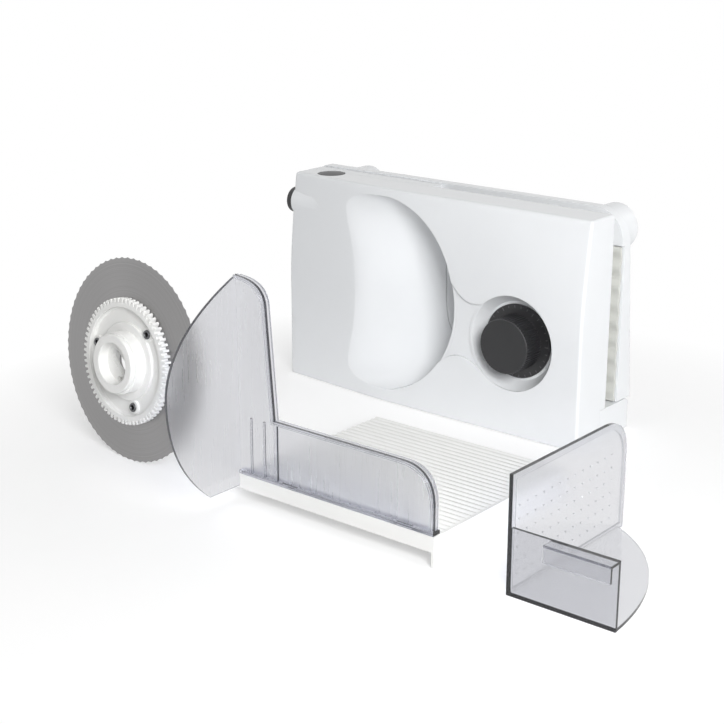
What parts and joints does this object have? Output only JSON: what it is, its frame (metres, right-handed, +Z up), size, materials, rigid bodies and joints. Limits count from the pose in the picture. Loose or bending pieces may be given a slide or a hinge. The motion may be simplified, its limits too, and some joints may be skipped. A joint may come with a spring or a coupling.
{
  "type": "folding electric food slicer",
  "caption": "Compact electric food slicer with its base folded up, and its toothed round blade, ribbed carriage with clear guard and spiked remnant holder standing apart in front.",
  "frame": {"origin": "on the table, under the middle of the housing", "axes": "+X to the right along the housing seen from its knob side, +Y away from that side, +Z up"},
  "size_m": [0.5525, 0.427, 0.198],
  "materials": {
    "white_shell": "gloss",
    "white_satin": "satin",
    "black_plastic": "satin",
    "clear_plastic": "gloss",
    "blade_steel": "brushed in circles",
    "bright_steel": "bright",
    "motor_steel": "plain",
    "magnet_black": "matte",
    "copper": "plain",
    "bronze": "plain",
    "board_green": "satin",
    "dark_rubber": "matte"
  },
  "bodies": {
    "housing": {"front_shell": "white_shell", "rear_shell": "white_shell", "foot_bar": "white_shell", "housing_foot_left": "dark_rubber", "housing_foot_right": "dark_rubber", "hinge_pin_left": "bright_steel", "hinge_pin_right": "bright_steel", "housing_screw_1": "bright_steel", "housing_screw_2": "bright_steel", "housing_screw_3": "bright_steel", "housing_screw_4": "bright_steel", "blade_spindle": "bright_steel", "motor_can": "motor_steel", "motor_end_cap": "black_plastic", "upper_bearing": "bronze", "lower_bearing": "bronze", "motor_magnet_left": "magnet_black", "motor_magnet_right": "magnet_black", "motor_brush_left": "magnet_black", "motor_brush_right": "magnet_black", "gear_bush": "bronze", "top_switch": "black_plastic", "side_switch": "black_plastic", "rectifier_board": "board_green", "cord_gland": "dark_rubber", "cam_cover": "white_satin", "cover_screw_1": "bright_steel", "cover_screw_2": "bright_steel", "cover_screw_3": "bright_steel"},
    "rotor": {"motor_shaft": "bright_steel", "armature": "copper", "commutator": "copper", "worm": "bright_steel"},
    "gear_shaft": {"pinion_shaft": "bright_steel", "worm_wheel": "white_satin", "drive_pinion": "white_satin"},
    "knob": {"thickness_knob": "black_plastic", "thickness_cam": "white_satin", "cam_screw": "bright_steel"},
    "stop": {"stop_plate": "white_satin", "guide_rod_upper": "bright_steel", "guide_rod_lower": "bright_steel"},
    "on_button": {"top_button": "black_plastic"},
    "lock_button": {"side_button": "black_plastic"},
    "base": {"base_tray": "white_shell", "base_foot_left": "dark_rubber", "base_foot_right": "dark_rubber"},
    "blade": {"blade_disc": "blade_steel", "blade_gear": "white_satin", "blade_rivet_1": "bright_steel", "blade_rivet_2": "bright_steel", "blade_rivet_3": "bright_steel"},
    "carriage": {"carriage_plate": "white_satin", "guard": "clear_plastic"},
    "holder": {"remnant_holder": "clear_plastic"}
  },
  "joints": [
    {"name": "motor_spin", "type": "hinge", "parent": "housing", "child": "rotor", "pos_m": [-0.12659, -0.009, 0.114], "axis": [0, 0, 1], "continuous": true},
    {"name": "gear_shaft_spin", "type": "hinge", "parent": "housing", "child": "gear_shaft", "pos_m": [-0.09859, 0, 0.06], "axis": [0, 1, 0], "continuous": true},
    {"name": "thickness_turn", "type": "hinge", "parent": "housing", "child": "knob", "pos_m": [0.096, -0.03, 0.082], "axis": [0, 1, 0], "range_deg": [0, 300]},
    {"name": "stop_plate_slide", "type": "slide", "parent": "housing", "child": "stop", "axis": [0, -1, 0], "range_m": [0, 0.015]},
    {"name": "top_button_press", "type": "slide", "parent": "housing", "child": "on_button", "axis": [0, 0, -1], "range_m": [0, 0.0025], "stiffness_N_per_m": 600, "springref_m": -0.001},
    {"name": "side_button_press", "type": "slide", "parent": "housing", "child": "lock_button", "axis": [1, 0, 0], "range_m": [0, 0.0025], "stiffness_N_per_m": 600, "springref_m": -0.001},
    {"name": "base_fold", "type": "hinge", "parent": "housing", "child": "base", "pos_m": [0, 0.036, 0.022], "axis": [-1, 0, 0], "range_deg": [0, 90]},
    {"name": "blade_spin", "type": "hinge", "parent": "housing", "child": "blade", "pos_m": [-0.1126, -0.2853, 0.08473], "axis": [0.0539, 0.9946, -0.0889], "continuous": true},
    {"name": "carriage_slide", "type": "slide", "parent": "housing", "child": "carriage", "axis": [0, -1, 0], "range_m": [0, 0.15]},
    {"name": "holder_slide", "type": "slide", "parent": "carriage", "child": "holder", "axis": [1, 0, 0], "range_m": [-0.045, 0.049]}
  ],
  "couplings": [
    {"joint": "gear_shaft_spin", "follows": "motor_spin", "ratio": -0.022727},
    {"joint": "stop_plate_slide", "follows": "thickness_turn", "m_per_rad": 0.002864}
  ]
}
